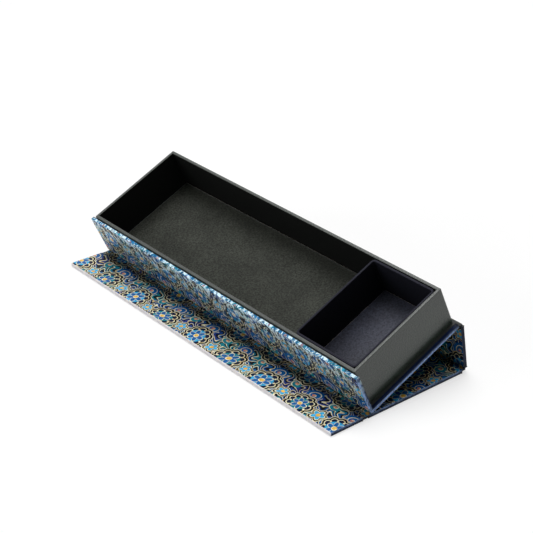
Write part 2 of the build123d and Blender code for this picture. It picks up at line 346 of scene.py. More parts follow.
ORNAMENT = [
    # The drawing flows a little off its grid.
    ("drift_u", "MULTIPLY_ADD", "drift_1", DRIFT, -DRIFT / 2),
    ("drift_s", "MULTIPLY_ADD", "drift_2", DRIFT, -DRIFT / 2),
    ("u", "MULTIPLY_ADD", "sheet_u", 1 / UNIT, "drift_u"),
    ("s", "MULTIPLY_ADD", "sheet_s", 1 / UNIT, "drift_s"),
    # rosettes and small flowers
    *lattice("rose", REPEAT, 0.0, 0.0),
    *lattice("bud", REPEAT, 0.5, 0.0),
    *lobes("rim", "rose", *RIM_LOBES),
    *lobes("petal", "rose", *PETAL_LOBES),
    *lobes("bloom", "bud", *BLOOM_LOBES),
    *stroke("rim_line", "rim", 0.0, LINE),
    *stroke("outer_line", "rim", OUTER_RIM, THIN_LINE),
    *stroke("petal_line", "petal", 0.0, LINE),
    *stroke("core_line", "rose_r", CORE, LINE),
    *stroke("bloom_line", "bloom", 0.0, LINE),
    *stroke("bloom_outer", "bloom", BLOOM_RIM, THINNER_LINE),
    # beads between the scallops
    ("bead_turn", "MULTIPLY", "rose_turn", SCALLOPS / math.tau),
    ("bead_part", "FRACT", "bead_turn"),
    ("bead_half", "SUBTRACT", "bead_part", 0.5),
    ("bead_wide", "MULTIPLY", "bead_half", "rose_r"),
    ("bead_x", "MULTIPLY", "bead_wide", math.tau / SCALLOPS),
    ("bead_y", "SUBTRACT", "rose_r", BEAD_RING),
    ("bead_yy", "MULTIPLY", "bead_y", "bead_y"),
    ("bead_rr", "MULTIPLY_ADD", "bead_x", "bead_x", "bead_yy"),
    ("bead", "LESS_THAN", "bead_rr", BEAD**2),
    # scrolls, wound one way and the other in turn
    *lattice("scroll", REPEAT / 2, 0.0, 0.5),
    ("side", "FLOORED_MODULO", "scroll_column", 2.0),
    ("wind", "MULTIPLY_ADD", "side", 2 / math.tau, -1 / math.tau),
    ("wound", "MULTIPLY", "scroll_turn", "wind"),
    ("coil", "MULTIPLY_ADD", "scroll_r", 1 / COIL, "wound"),
    ("coil_part", "FRACT", "coil"),
    *stroke("coil_line", "coil_part", 0.5, LINE / COIL),
    ("scroll_size", "MULTIPLY_ADD", "side", -SCROLL_LESS, SCROLL),
    ("in_scroll", "LESS_THAN", "scroll_r", "scroll_size"),
    # flowing lines with a long and a short wave
    ("long_wave", "MULTIPLY", "s", WAVE),
    ("long_bend", "SINE", "long_wave"),
    ("bent", "MULTIPLY_ADD", "u", 2 * math.tau / REPEAT, "long_bend"),
    ("bend", "SINE", "bent"),
    ("flow", "MULTIPLY_ADD", "s", 1 / SWAY, "bend"),
    ("short_wave", "MULTIPLY", "u", RIPPLE),
    ("ripple", "SINE", "short_wave"),
    ("rippled", "MULTIPLY_ADD", "ripple", RIPPLE_HEIGHT, "flow"),
    ("sway_part", "FRACT", "rippled"),
    *stroke("sway_line", "sway_part", 0.5, SWAY_LINE),
    ("sway_dark", "GREATER_THAN", "sway_part", 0.5),
    # what lies in front of what
    ("off_rim", "GREATER_THAN", "rim", OUTER_RIM + CLEAR),
    ("off_bloom", "GREATER_THAN", "bloom", BLOOM_RIM + CLEAR),
    ("clear", "MULTIPLY", "off_rim", "off_bloom"),
    ("scroll_area", "MULTIPLY", "in_scroll", "clear"),
    ("scroll_line", "MULTIPLY", "coil_line", "scroll_area"),
    ("behind", "SUBTRACT", "clear", "scroll_area"),
    ("back_line", "MULTIPLY", "sway_line", "behind"),
    ("back_dark", "MULTIPLY", "sway_dark", "behind"),
    *greatest("lines", "rim_line", "outer_line", "petal_line", "core_line", "bloom_line", "bloom_outer",
              "bead", "scroll_line", "back_line"),
    ("in_outer", "LESS_THAN", "rim", OUTER_RIM),
    ("in_rim", "LESS_THAN", "rim", 0.0),
    ("in_disc", "LESS_THAN", "rose_r", DISC),
    ("in_petal", "LESS_THAN", "petal", 0.0),
    ("in_core", "LESS_THAN", "rose_r", CORE),
    ("in_outer_bloom", "LESS_THAN", "bloom", BLOOM_RIM),
    ("in_bloom", "LESS_THAN", "bloom", 0.0),
    ("in_bud", "LESS_THAN", "bud_r", BUD),
    ("in_coil", "LESS_THAN", "scroll_r", EYE),
    ("rose_kind", "FLOORED_MODULO", "rose_column", 2.0),
    ("in_other", "MULTIPLY", "rose_kind", "in_disc"),
    ("scroll_core", "MULTIPLY", "in_coil", "scroll_area"),
    ("scroll_small", "MULTIPLY", "side", "scroll_area"),
]

PRINTING = [
    # The print stops before the folded ends of the cover, where the paper is plain, rubbed pale and given a
    # painted highlight along the fold.
    ("reach", "ABSOLUTE", "sheet_u"),
    ("printed", "LESS_THAN", "reach", "print_half"),
    ("unprinted", "SUBTRACT", 1.0, "printed"),
    ("past_fold", "SUBTRACT", "reach", "print_half"),
    ("on_base", "LESS_THAN", "sheet_s", "spine_at"),
    ("before_lid", "LESS_THAN", "sheet_s", "lid_at"),
    ("on_spine", "SUBTRACT", "before_lid", "on_base"),
    ("rub_and_light_fade", "MULTIPLY_ADD", "on_base", RUB_AND_LIGHT_FADE, RUB_AND_LIGHT_FADE),
    ("rub_and_light_plain", "MULTIPLY_ADD", "on_spine", RUB_AND_LIGHT_SPINE, RUB_AND_LIGHT),
    ("rub_and_light_most", "MULTIPLY_ADD", "on_base", RUB_AND_LIGHT_BASE, "rub_and_light_plain"),
    ("rub_and_light", "MULTIPLY_ADD", "past_fold", "rub_and_light_fade", "rub_and_light_most"),
    ("rub_and_light_end", "MAXIMUM", "rub_and_light", 0.0),
    ("rubbed_and_lit_end", "MULTIPLY", "rub_and_light_end", "unprinted"),
    ("worn_and_lit_end", "MULTIPLY", "rubbed_and_lit_end", "ink"),
    # a pale painted glare over the flap's free edge, and a painted glint along the front board's edge
    ("on_flap_edge", "GREATER_THAN", "sheet_s", "print_end"),
    ("painted_flap_glare", "MULTIPLY", "on_flap_edge", FLAP_GLARE),
    ("on_front_edge", "LESS_THAN", "sheet_s", GLARE_BAND),
    ("glint", "MULTIPLY", "on_front_edge", GLINT),
    # painted shade in the joint between the front board's paper and the tray
    ("joint_shade", "LESS_THAN", "sheet_s", -JOINT),
    # Painted reflection on the front board: streaks of painted glint run down it from its edge, and between
    # them painted dark streaks, where the gold foil is left out.
    ("beyond", "RANGE", "sheet_s", 20.0, 28.0, 0.0, 1.0),
    ("kept", "RANGE", "streak_noise", 0.41, 0.47, 0.0, 1.0),
    ("whole", "MAXIMUM", "kept", "beyond"),
    ("drawn", "MULTIPLY", "lines", "printed"),
    ("foil", "MULTIPLY", "drawn", "whole"),
    ("glint_streak", "RANGE", "streak_noise", 0.51, 0.57, 0.0, 1.0),
    ("near", "RANGE", "sheet_s", 0.0, 16.0, 0.95, 0.0),
    ("painted_glints", "MULTIPLY", "glint_streak", "near"),
    ("painted_dark_streaks", "RANGE", "streak_noise", 0.4, 0.5, 0.55, 1.0),
    ("streak_shade", "MAXIMUM", "painted_dark_streaks", "beyond"),
    # Painted shade: ink and foil are darkened towards each crease, where shade falls.
    *apart("spine_far", "sheet_s", "spine_at"),
    *apart("lid_far", "sheet_s", "lid_at"),
    *apart("flap_far", "sheet_s", "flap_at"),
    ("back_creases", "MINIMUM", "spine_far", "lid_far"),
    ("from_crease", "MINIMUM", "back_creases", "flap_far"),
    ("crease_shade", "RANGE", "from_crease", 2.0, 5.5, 0.35, 1.0),
    ("level", "MULTIPLY", "streak_shade", "crease_shade"),
    # The ground drifts between blue, teal and violet in clouds of 10 to 25 mm. The ink is laid unevenly.
    ("cool", "RANGE", "cloud", 0.52, 0.58, 0.0, 1.0),
    ("warm", "RANGE", "cloud", 0.46, 0.41, 0.0, 1.0),
    ("ink_depth", "RANGE", "ink", 0.3, 0.7, 0.75, 1.25),
    # The foil drifts from pale cream to a deeper gold. Under the varnish it is only partly a mirror.
    ("deeper", "RANGE", "ink", 0.45, 0.62, 0.0, 1.0),
    ("metal", "MULTIPLY", "foil", MIRROR),
    ("rough", "RANGE", "foil", 0.0, 1.0, 0.38, 0.3),
    ("raised", "MULTIPLY_ADD", "fibre", FIBRE_RELIEF, "foil"),
]


def decorated_paper(sizes, colours):
    """Coated paper, offset printed, with hot-stamped pale gold foil lines under a silk varnish.

    The foil glints a little more than the ink and stands just proud of it, and the varnish softens both.
    """
    material, tree = empty_material("printed_foil_stamped_paper")
    flat = add(tree, "ShaderNodeUVMap", {"uv_map": SHEET}).outputs[0]
    in_mm = add(tree, "ShaderNodeVectorMath", {"operation": "SCALE"}, {0: flat, "Scale": 1 / MM}).outputs[0]
    # Places stretched into streaks, for the painted reflection on the front board
    streak_place = add(tree, "ShaderNodeVectorMath", {"operation": "MULTIPLY"}, {0: in_mm, 1: STREAK_SCALE}).outputs[0]
    split = add(tree, "ShaderNodeSeparateXYZ", inputs={0: in_mm})
    drift = add(tree, "ShaderNodeTexNoise", inputs={"Vector": in_mm, "Scale": 1 / WANDER, "Detail": 0.0})
    drifts = add(tree, "ShaderNodeSeparateColor", inputs={0: drift.outputs["Color"]})
    starts = sheet_starts(sizes)
    known = {
        "sheet_u": split.outputs[0],
        "sheet_s": split.outputs[1],
        "drift_1": drifts.outputs[0],
        "drift_2": drifts.outputs[1],
        "spine_at": starts["spine"] / MM,
        "lid_at": starts["lid"] / MM,
        "flap_at": starts["flap"] / MM,
        "print_half": cover_half / MM - INK_STOPS,
        "print_end": (starts["flap"] + flap_reach) / MM - GLARE_BAND,
    }
    noises = (
        # name, place where it is read, repeats to a millimetre, detail, distortion
        ("cloud", in_mm, 1 / 18, 2.0, 0.0),
        ("ink", in_mm, 0.5, 3.0, 0.0),
        # streaks of painted reflection on the front board
        ("streak_noise", streak_place, 1.0, 3.0, 0.6),
        ("fibre", in_mm, 3.0, 4.0, 0.0),
    )
    for name, place, scale, detail, distortion in noises:
        inputs = {"Vector": place, "Scale": scale, "Detail": detail, "Distortion": distortion}
        known[name] = add(tree, "ShaderNodeTexNoise", inputs=inputs).outputs["Fac"]
    work(tree, known, ORNAMENT + PRINTING)

    printed = layered(tree, known, rgba(colours.blue), [
        ("cool", colours.teal),
        ("warm", colours.violet),
        ("back_dark", colours.night),
        ("scroll_area", colours.blue),
        ("scroll_small", colours.teal),
        ("scroll_core", colours.coral),
        ("in_outer", colours.night),
        ("in_rim", colours.navy),
        ("in_disc", colours.sky),
        ("in_other", colours.teal),
        ("in_petal", colours.blue),
        ("in_core", colours.amber),
        ("in_outer_bloom", colours.night),
        ("in_bloom", colours.sky),
        ("in_bud", colours.amber),
        ("unprinted", colours.edge),
        # the folded ends: wear, and a painted highlight along the fold
        ("worn_and_lit_end", colours.rubbed_and_lit),
    ])
    inked = add(tree, "ShaderNodeHueSaturation", inputs={"Color": printed, "Value": known["ink_depth"]})
    # Over the ink go the foil and painted light: glare over the flap's free edge, a glint along the front
    # board's edge, glints down the front board, and shade in the joint with the tray.
    stamped = layered(tree, known, inked.outputs[0], [
        ("foil", layered(tree, known, rgba(colours.foil), [("deeper", colours.gold)])),
        ("painted_flap_glare", colours.flap_glare_white),
        ("glint", colours.sky),
        ("painted_glints", colours.glint_white),
        ("joint_shade", colours.night),
    ])
    # Painted shade darkens the colour towards the creases and in streaks down the front board.
    colour = add(tree, "ShaderNodeHueSaturation", inputs={"Color": stamped, "Value": known["level"]})
    bump = add(tree, "ShaderNodeBump",
               inputs={"Strength": 0.5, "Distance": 0.03 * MM, "Height": known["raised"]})
    shade(tree, {"Base Color": colour.outputs[0], "Metallic": known["metal"], "Roughness": known["rough"],
                 "Normal": bump.outputs["Normal"], "Specular IOR Level": 0.08, "IOR": 1.5})
    return material


def grained_paper(name, colour, grain, depth, rough, worn_lit_colour, lift):
    """Dyed paper embossed with a fine grain: soft wide highlights, and paler where it is folded and rubbed,
    with a painted highlight there.

    The grain and its depth are in millimetres, and lift is the specular level.
    """
    material, tree = empty_material(name)
    in_mm = object_millimetres(tree)
    pebble = add(tree, "ShaderNodeTexVoronoi", {"feature": "SMOOTH_F1"},
                 {"Vector": in_mm, "Scale": 1 / grain, "Smoothness": 0.4})
    known = {
        "pebble": pebble.outputs["Distance"],
        "worn_and_lit": add(tree, "ShaderNodeAttribute", {"attribute_name": WORN_AND_LIT}).outputs["Fac"],
    }
    # Clouds of dye are 18 mm wide. The pebbles of the grain take it unevenly; they are drawn 1 mm wide,
    # twice the real size, so as to show.
    noises = (("fibre", 2 / grain, 4.0, 0.6), ("cloud", 1 / 18, 3.0, 0.5), ("mottle", 1.0, 1.0, 0.5))
    for noise, scale, detail, unevenness in noises:
        inputs = {"Vector": in_mm, "Scale": scale, "Detail": detail, "Roughness": unevenness}
        known[noise] = add(tree, "ShaderNodeTexNoise", inputs=inputs).outputs["Fac"]
    work(tree, known, [
        ("height", "MULTIPLY_ADD", "fibre", 0.4, "pebble"),
        ("rubbed_and_lit", "RANGE", "fibre", 0.3, 0.7, 0.6, 1.0),
        ("worn_and_lit_share", "MULTIPLY", "worn_and_lit", "rubbed_and_lit"),
        ("dye", "RANGE", "cloud", 0.35, 0.65, 0.85, 1.15),
        ("taken", "RANGE", "mottle", 0.3, 0.7, 0.6, 1.4),
        ("dye_depth", "MULTIPLY", "dye", "taken"),
        ("gloss", "RANGE", "fibre", 0.3, 0.7, rough - 0.05, rough + 0.05),
    ])
    dyed = add(tree, "ShaderNodeHueSaturation", inputs={"Color": rgba(colour), "Value": known["dye_depth"]})
    # Folded rims are paler: wear, and a painted highlight where light falls on them.
    worn_and_lit = layered(tree, known, dyed.outputs[0], [("worn_and_lit_share", worn_lit_colour)])
    bump = add(tree, "ShaderNodeBump",
               inputs={"Strength": 0.6, "Distance": depth * MM, "Height": known["height"]})
    shade(tree, {"Base Color": worn_and_lit, "Roughness": known["gloss"], "Normal": bump.outputs["Normal"],
                 "Specular IOR Level": lift, "IOR": 1.5})
    return material


def grey_board(colours):
    """Pressed recycled board: dull grey-brown with short fibres and specks."""
    material, tree = empty_material("pressed_grey_board")
    fibre = add(tree, "ShaderNodeTexNoise", inputs={
        "Vector": object_millimetres(tree), "Scale": 2.5, "Detail": 5.0, "Roughness": 0.7})
    known = {"fibre": fibre.outputs["Fac"]}
    work(tree, known, [("tone", "RANGE", "fibre", 0.3, 0.7, 0.8, 1.15)])
    colour = add(tree, "ShaderNodeHueSaturation",
                 inputs={"Color": rgba(colours.board), "Value": known["tone"]})
    bump = add(tree, "ShaderNodeBump",
               inputs={"Strength": 0.5, "Distance": 0.05 * MM, "Height": known["fibre"]})
    shade(tree, {"Base Color": colour.outputs[0], "Roughness": 0.9, "Normal": bump.outputs["Normal"]})
    return material


def plated_magnet(colours):
    """Nickel-plated disc magnet: pale warm metal with a faint drag of polishing marks."""
    material, tree = empty_material("nickel_plated_magnet")
    marks = add(tree, "ShaderNodeTexNoise",
                inputs={"Vector": object_millimetres(tree), "Scale": 1.5, "Detail": 6.0})
    known = {"marks": marks.outputs["Fac"]}
    work(tree, known, [("rough", "RANGE", "marks", 0.0, 1.0, 0.2, 0.4)])
    shade(tree, {"Base Color": rgba(colours.nickel), "Metallic": 1.0, "Roughness": known["rough"]})
    return material


finishes = {}


def material_set():
    """Every finish by its short name, made at the first call."""
    if finishes:
        return finishes
    scene = bpy.context.scene
    colours = scene.case_colours
    finishes["decorated"] = decorated_paper(scene.case_sizes, colours)
    finishes["board"] = grey_board(colours)
    finishes["magnet"] = plated_magnet(colours)
    papers = (
        # short name, material, colour, grain and its depth in mm, roughness, colour of worn rims with their
        # painted highlight, specular
        ("wrap", "embossed_black_paper", colours.black, 0.9, 0.12, 0.3, "#2A2F2B", 0.6),
        ("lining", "matt_black_lining_paper", colours.lining, 0.4, 0.03, 0.75, "#2A2D2B", 0.1),
        ("cover_lining", "black_cover_lining_paper", colours.cover_lining, 0.8, 0.06, 0.55, "#2A2D2B", 0.4),
        ("pad", "charcoal_floor_paper", colours.charcoal, 0.8, 0.07, 0.62, "#5C605E", 0.1),
        ("insert", "ink_blue_paper", colours.ink_blue, 0.4, 0.03, 0.6, "#2C2C36", 0.06),
        ("insert_floor", "ink_blue_floor_paper", colours.slate, 0.8, 0.06, 0.5, "#4A4A56", 0.22),
    )
    for short, material, colour, grain, depth, rough, worn_lit_colour, lift in papers:
        finishes[short] = grained_paper(material, colour, grain, depth, rough, linear(worn_lit_colour), lift)
    return finishes


# Meshes


LEAST_FOLD = 0.02 * MM  # rounding that a corner keeps where it is moved in by more than it had
SPARE = 1 * MM  # how far a cutter reaches past what it opens
TOUCH = 0.001 * MM  # faces as near as this lie in one plane
PLAIN_MARGIN = 4 * MM  # inner margins lie at least this far past the sheet's ends, where it is plain


def rounded_outline(corners, steps):
    """A closed outline from (u, v, rounding) corners, and whether each side is part of a rounding."""
    points, folds = [], []
    count = len(corners)
    for i, (u, v, radius) in enumerate(corners):
        here = np.array((u, v))
        if radius <= 0:
            points.append(here)
            folds.append(False)
            continue
        before = np.array(corners[i - 1][:2]) - here
        after = np.array(corners[(i + 1) % count][:2]) - here
        before /= np.linalg.norm(before)
        after /= np.linalg.norm(after)
        half = math.acos(np.clip(before @ after, -1, 1)) / 2
        centre = here + (before + after) / np.linalg.norm(before + after) * radius / math.sin(half)
        start = here + before * radius / math.tan(half) - centre
        end = here + after * radius / math.tan(half) - centre
        sweep = math.acos(np.clip(start @ end / radius**2, -1, 1))
        for k in range(steps + 1):
            a, b = math.sin((1 - k / steps) * sweep), math.sin(k / steps * sweep)
            points.append(centre + (start * a + end * b) / math.sin(sweep))
            folds.append(k < steps)
    return np.array(points), folds


def moved_in(corners, amount):
    """The same corners with the outline moved inwards; it runs anticlockwise."""
    points = np.array([c[:2] for c in corners])
    run = np.roll(points, -1, 0) - points
    run /= np.linalg.norm(run, axis=1)[:, None]
    normal = np.stack([-run[:, 1], run[:, 0]], 1)
    last = np.roll(normal, 1, 0)
    shifted = points + amount * (normal + last) / (1 + (normal * last).sum(1))[:, None]
    radii = [max(radius - amount, LEAST_FOLD) if radius > 0 else 0 for _, _, radius in corners]
    return [(u, v, radius) for (u, v), radius in zip(shifted, radii)]


def finished(name, verts, faces, smooth, slots=None):
    """A mesh object from its points and faces, in the row frame."""
    mesh = bpy.data.meshes.new(name)
    mesh.from_pydata([tuple(v) for v in verts], [], faces)
    mesh.polygons.foreach_set("use_smooth", smooth)
    if slots is not None:
        mesh.polygons.foreach_set("material_index", slots)
    mesh.update()
    piece = bpy.data.objects.new(name, mesh)
    bpy.context.scene.collection.objects.link(piece)
    return piece


def quarter_turn(radius, steps):
    """Depth and drop of each point of a fold, from upright to level."""
    angles = [math.pi / 2 * k / steps for k in range(steps + 1)]
    return [(radius * (1 - math.cos(a)), radius * (1 - math.sin(a))) for a in angles]


def swept(name, section, corners, half, fold, steps, round_steps, slots=None):
    """An outline swept along the case between two rounded ends, with a material slot for each side."""
    stations = [(-half + depth, drop) for depth, drop in quarter_turn(fold, steps)]
    stations += [(-x, d) for x, d in reversed(stations)]
    verts, faces, smooth, index = [], [], [], []
    for x, depth in stations:
        outline, folds = rounded_outline(moved_in(corners, depth), round_steps)
        verts += [section.place(x, u, v) for u, v in outline]
    count = len(folds)
    for i in range(len(stations) - 1):
        straight = i == steps
        for j in range(count):
            k = (j + 1) % count
            faces.append((i * count + j, i * count + k, (i + 1) * count + k, (i + 1) * count + j))
            smooth.append(folds[j] or not straight)
            index.append(slots[j] if slots else 0)
    # The ends are filled with triangles, because an outline may have an inner corner.
    filled = tessellate_polygon([[Vector((*p, 0)) for p in outline]])
    last = (len(stations) - 1) * count
    for a, b, c in filled:
        faces += [(c, b, a), (last + a, last + b, last + c)]
        smooth += [False, False]
        index += [0, 0]
    piece = finished(name, verts, faces, smooth, index)
    if piece.data.polygons[-1].normal.x < 0:
        raise RuntimeError(f"the ends of {name} point inwards")
    return piece


def unfold(piece, section, half, lay_flat, inner_sides, depth):
    """Give each corner of each face its place on the flat sheet.

    An end runs on past the fold by its depth below the decorated face.
    Inner margins lie past the sheet's ends.
    """
    mesh = piece.data
    layer = mesh.uv_layers.new(name=SHEET)
    local = section.local([v.co for v in mesh.vertices])
    for face in mesh.polygons:
        end = abs(face.normal.x) > 0.5
        inner = any(face.normal.dot(side) > 0.5 for side in inner_sides)
        facing = face.normal.dot(section.along), face.normal.dot(section.inward)
        for loop in face.loop_indices:
            x, u, v = local[mesh.loops[loop].vertex_index]
            past = 0.0
            if end:
                past = depth(u, v)
            elif inner:
                past = 2 * (half - abs(x)) + PLAIN_MARGIN
            layer.data[loop].uv = (x + math.copysign(past, x), lay_flat(u, v, facing))


def applied(piece, modifier):
    """Make what a modifier gives the piece's own plain mesh, and take the modifier off."""
    depsgraph = bpy.context.evaluated_depsgraph_get()
    piece.data = bpy.data.meshes.new_from_object(piece.evaluated_get(depsgraph))
    piece.modifiers.remove(modifier)


def cut(piece, section, x_half, u0, u1, v0, v1):
    """Take a box out of a piece, for the board or the lining that it holds."""
    outline = np.array([(u0, v0), (u1, v0), (u1, v1), (u0, v1)])
    verts = [section.place(x, u, v) for x in (-x_half, x_half) for u, v in outline]
    faces = [(0, 1, 5, 4), (1, 2, 6, 5), (2, 3, 7, 6), (3, 0, 4, 7), (3, 2, 1, 0), (4, 5, 6, 7)]
    tool = finished("cutter", verts, faces, [False] * 6)
    tool.data.uv_layers.new(name=SHEET)
    boolean = piece.modifiers.new("pocket", "BOOLEAN")
    boolean.operation = "DIFFERENCE"
    boolean.solver = "EXACT"
    boolean.object = tool
    applied(piece, boolean)
    bpy.data.objects.remove(tool)


def dress(piece, materials, body, slot, *nodes):
    """Finish a piece: its materials, the body it rides on and the CAD nodes it stands for. Its slot is not
    used.
    """
    piece.data.materials.clear()
    for material in materials:
        piece.data.materials.append(material)
    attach(piece, body)
    if nodes:
        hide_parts(*nodes)


cover_half, base_reach, front_height = sections["tray"].box("base_cover_paper")[1]
spine_reach = sections["tray"].local([spine_line])[0][1]
spine_span = (Vector(lid_line) - Vector(spine_line)).length
lid_span = (Vector(flap_line) - Vector(lid_line)).length
flap_reach = sections["flap"].box("flap_cover_paper")[1][1]


def sheet_starts(sizes):
    """Where each crease lies on the flat sheet, measured from the front board's top edge."""
    bend = sizes.corner_fold
    spine = front_height - bend + bend * math.pi / 2 + spine_reach - bend
    return {"spine": spine, "lid": spine + spine_span, "flap": spine + spine_span + lid_span}


def cover_base(sizes, finish):
    """The paper under the base, round the near corner and up the front board, turned in behind its edge."""
    tray = sections["tray"]
    board_low, board_high = tray.box("base_board")
    front_low, front_high = tray.box("front_board")
    bend = sizes.corner_fold
    inside = board_high[2]
    turned = inside + (front_height - front_high[2])
    corners = [
        (base_reach, 0, sizes.groove_fold),
        (base_reach, turned, 0),
        (turned, turned, 0),
        (turned, front_height, sizes.paper_fold),
        (0, front_height, sizes.paper_fold),
        (0, 0, bend),
    ]
    steps = sizes.fold_steps
    base = swept("cover_paper_base", tray, corners, cover_half, sizes.paper_fold, steps, steps)

    def lay_flat(u, v, facing):
        if u < bend and v < bend:
            return front_height - bend + bend * math.atan2(bend - v, bend - u)
        if u < turned + TOUCH and v > bend:
            return front_height - v - (u if facing[1] > 0.5 else 0)
        return front_height - bend + bend * math.pi / 2 + u - bend

    def depth(u, v):
        return min(u, v)

    unfold(base, tray, cover_half, lay_flat, (tray.inward, tray.along), depth)
    half_board = board_high[0]
    half_window = cover_half - sizes.turn_in
    window_top = front_height - sizes.turn_in
    cut(base, tray, half_board, board_low[1], base_reach + SPARE, board_low[2], inside)
    cut(base, tray, half_board, front_low[1], front_high[1], board_low[2] + SPARE, front_high[2])
    cut(base, tray, half_window, inside - SPARE, base_reach + SPARE, inside - SPARE / 2, turned + SPARE)
    cut(base, tray, half_window, front_high[1] - SPARE / 2, turned + SPARE, inside - SPARE, window_top)
    dress(base, [finish], "tray", "decorated_paper", "base_cover_paper")


def cover_panel(name, sizes, start, finish):
    """The paper over the spine, the lid or the flap; the flap's is turned in over its free edge."""
    section = sections[name]
    low, high = section.box(f"{name}_cover_paper")
    board_low, board_high = section.box(f"{name}_board")
    free = name == "flap"
    far = sizes.paper_fold if free else sizes.groove_fold
    corners = [
        (low[1], low[2], sizes.groove_fold),
        (high[1], low[2], far),
        (high[1], high[2], far if free else 0),
        (low[1], high[2], 0),
    ]
    steps = sizes.fold_steps
    panel = swept(f"cover_paper_{name}", section, corners, high[0], sizes.paper_fold, steps, steps)

    def depth(u, v):
        return v - low[2]

    def lay_flat(u, v, facing):
        return start + u + (depth(u, v) if free and facing[0] > 0.5 else 0)

    unfold(panel, section, high[0], lay_flat, (section.inward,), depth)
    near = low[1] - SPARE
    end = board_high[1] if free else high[1] + SPARE
    window = high[1] - sizes.turn_in if free else high[1] + SPARE
    cut(panel, section, board_high[0], near, end, board_low[2], board_high[2])
    cut(panel, section, high[0] - sizes.turn_in, near, window, board_high[2] - SPARE / 2, high[2] + SPARE)
    dress(panel, [finish], name, "decorated_paper", f"{name}_cover_paper")


class CASE_OT_cover(bpy.types.Operator):
    """Decorated paper on the four parts of the cover"""

    bl_idname = "case.cover"
    bl_label = "Cover papers"

    def execute(self, context):
        sizes = context.scene.case_sizes
        finish = material_set()["decorated"]
        cover_base(sizes, finish)
        for name, start in sheet_starts(sizes).items():
            cover_panel(name, sizes, start, finish)
        return {"FINISHED"}


# One half of a crease strip's section, from the panel's edge to the crease on the decorated side, and from
# the crease to the panel's edge on the lined side. Each row has the distance past the panel's edge, the
# share of the way from the crease to it, a level and the height above that.

WEB = 0.25 * MM  # from the crease's axis to each side of a strip that bends
FLAT_WEB = 1.1 * MM  # to the lined side of the flap's strip, which lies flat
STRIP_INSET = 0.05 * MM  # each end of a strip lies this far inside the cover's end
PLAIN_END = 3 * MM  # its ends are moved this far out on the sheet, where it is plain
STRIP_FOLD = 0.03 * MM  # rounding of its ends
BEND_STEPS = 8  # flats round a bend

DECORATED_SIDE = (
    (0.05 * MM, 1, "decorated", 0.16 * MM),
    (0, 1, "decorated", 0.17 * MM),
    (-0.12 * MM, 1, "web", -0.05 * MM),
    (-0.3 * MM, 1, "web", 0),
    (0, 0.52, "web", 0),
    (0, 0.29, "web", 0),
)
LINED_SIDE = (
    (0, 0.29, "lined web", 0),
    (0, 0.52, "lined web", 0),
    (-0.35 * MM, 1, "lined web", 0),
    (-0.12 * MM, 1, "lined web", 0.1 * MM),
    (-0.07 * MM, 1, "lined web", 0.35 * MM),
    (-0.07 * MM, 1, "lining", -0.2 * MM),
    (0, 1, "lining", -0.02 * MM),
    (0.05 * MM, 1, "lining", -0.02 * MM),
)


def crease_strip(before, after, crease_at, made):
    """The two papers across one crease, named for the panel after it."""
    name = after
    first, second = sections[before], sections[after]
    flat = name == "flap"
    pivot = np.array(second.origin)[1:]
    run_in, run_out = np.array(first.along)[1:], np.array(second.along)[1:]
    in_in, in_out = np.array(first.inward)[1:], np.array(second.inward)[1:]
    low = second.box(f"{name}_cover_paper")[0]
    panel = "base" if before == "tray" else before
    gap_in = first.local([second.origin])[0][1] - first.box(f"{panel}_cover_paper")[1][1]
    gap_out = low[1]
    levels = {
        "decorated": low[2],
        "web": -WEB,
        "lined web": FLAT_WEB if flat else WEB,
        "lining": second.box(f"{name}_lining")[1][2],
    }

    def side(rows, gap, run, inward):
        """Points of one side, from a panel's edge towards the crease."""
        return [pivot + run * (share * gap + past) + inward * (levels[at] + up)
                for past, share, at, up in rows]

    turn = math.atan2(np.cross(run_in, run_out), run_in @ run_out)
    left = side(DECORATED_SIDE, gap_in, -run_in, in_in)
    right = side(DECORATED_SIDE, gap_out, run_out, in_out)
    if flat:
        bend = [left[-1] + (right[-1] - left[-1]) * t for t in (0.33, 0.67)]
        cap = [pivot + levels["lined web"] * in_in]
    else:
        knee = pivot - run_in * WEB * math.tan(abs(turn) / 2) - in_in * WEB
        ts = np.linspace(0, 1, BEND_STEPS + 1)[1:-1]
        bend = [(1 - t) ** 2 * left[-1] + 2 * t * (1 - t) * knee + t**2 * right[-1] for t in ts]
        angles = np.linspace(0, turn, BEND_STEPS + 1)
        y, z = in_in * WEB
        cap = [pivot + (y * math.cos(a) - z * math.sin(a), y * math.sin(a) + z * math.cos(a))
               for a in angles]
    under = left + bend + right[::-1]
    over = side(LINED_SIDE[::-1], gap_out, run_out, in_out) + cap[::-1]
    over += side(LINED_SIDE, gap_in, -run_in, in_in)
    corners = [(*p, 0) for p in under + over]
    slots = [0] * (len(under) - 1) + [1] * (len(over) + 1)
    half = cover_half - STRIP_INSET
    strip = swept(f"crease_paper_{name}", sections["room"], corners, half, STRIP_FOLD, 2, 1, slots)

    path = np.concatenate([[0], np.cumsum(np.linalg.norm(np.diff(np.array(under), axis=0), axis=1))])
    path += crease_at - path[-1] / 2
    along_sheet = np.concatenate([path, np.full(len(over), crease_at)])
    layer = strip.data.uv_layers.new(name=SHEET)
    for face in strip.data.polygons:
        past = PLAIN_END if abs(face.normal.x) > 0.5 else 0
        for loop in face.loop_indices:
            at = strip.data.loops[loop].vertex_index
            x = strip.data.vertices[at].co.x
            layer.data[loop].uv = (x + math.copysign(past, x), along_sheet[at % len(corners)])
    strip.data.materials.append(made["decorated"])
    strip.data.materials.append(made["cover_lining"])

    middle = run_in + run_out
    middle /= np.linalg.norm(middle)
    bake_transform(strip)
    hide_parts(f"{name}_crease_strip")


class CASE_OT_creases(bpy.types.Operator):
    """Papers that cross the creases"""

    bl_idname = "case.creases"
    bl_label = "Crease papers"

    def execute(self, context):
        starts = sheet_starts(context.scene.case_sizes)
        for before, after in (("tray", "spine"), ("spine", "lid"), ("lid", "flap")):
            crease_strip(before, after, starts[after], material_set())
        return {"FINISHED"}


